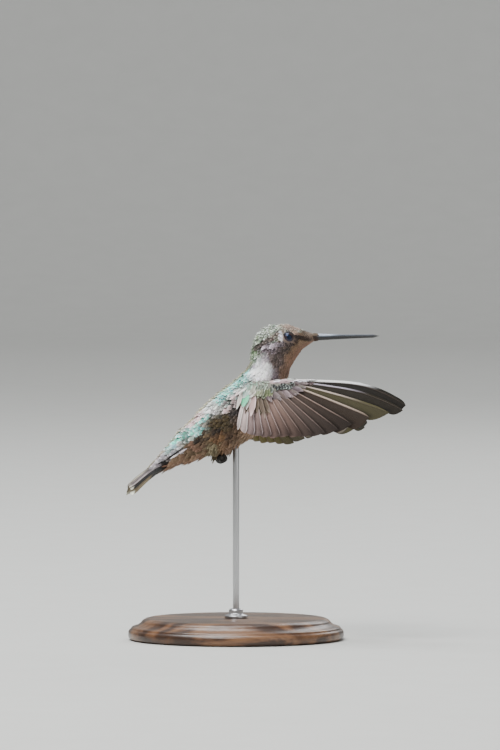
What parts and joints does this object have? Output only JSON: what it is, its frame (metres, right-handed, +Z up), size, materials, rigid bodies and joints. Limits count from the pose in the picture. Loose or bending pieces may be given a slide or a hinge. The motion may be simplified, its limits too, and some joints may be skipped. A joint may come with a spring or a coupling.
{
  "type": "ruby-throated hummingbird",
  "caption": "Life-size female ruby-throated hummingbird in hovering flight, wings swept forward, held by a slim rod on a round wooden display base.",
  "frame": {"origin": "centre of the display base's underside, on the floor", "axes": "+X the way the bird faces, +Y towards its left side, +Z up"},
  "size_m": [0.0776, 0.0822, 0.0876],
  "materials": {
    "plumage": "soft feather, green and grey-brown above, pale grey-buff below",
    "flight_feathers": "satin grey-brown flight feather with pale fringes",
    "bill": "satin black horn",
    "eye": "wet gloss, near black",
    "foot": "matt dark scaly skin",
    "stand_wood": "satin oiled walnut",
    "stand_metal": "brushed"
  },
  "bodies": {
    "root": {"head": "plumage", "neck": "plumage", "trunk": "plumage", "rump": "plumage", "tail": "flight_feathers", "bill_upper": "bill", "bill_lower": "bill", "wing_right_arm": "plumage", "wing_right_primaries": "flight_feathers", "wing_right_secondaries": "flight_feathers", "eye_right": "eye", "leg_right": "plumage", "foot_right": "foot", "wing_left_arm": "plumage", "wing_left_primaries": "flight_feathers", "wing_left_secondaries": "flight_feathers", "eye_left": "eye", "leg_left": "plumage", "foot_left": "foot", "stand_base": "stand_wood", "stand_collar": "stand_metal", "stand_rod": "stand_metal"}
  },
  "joints": []
}
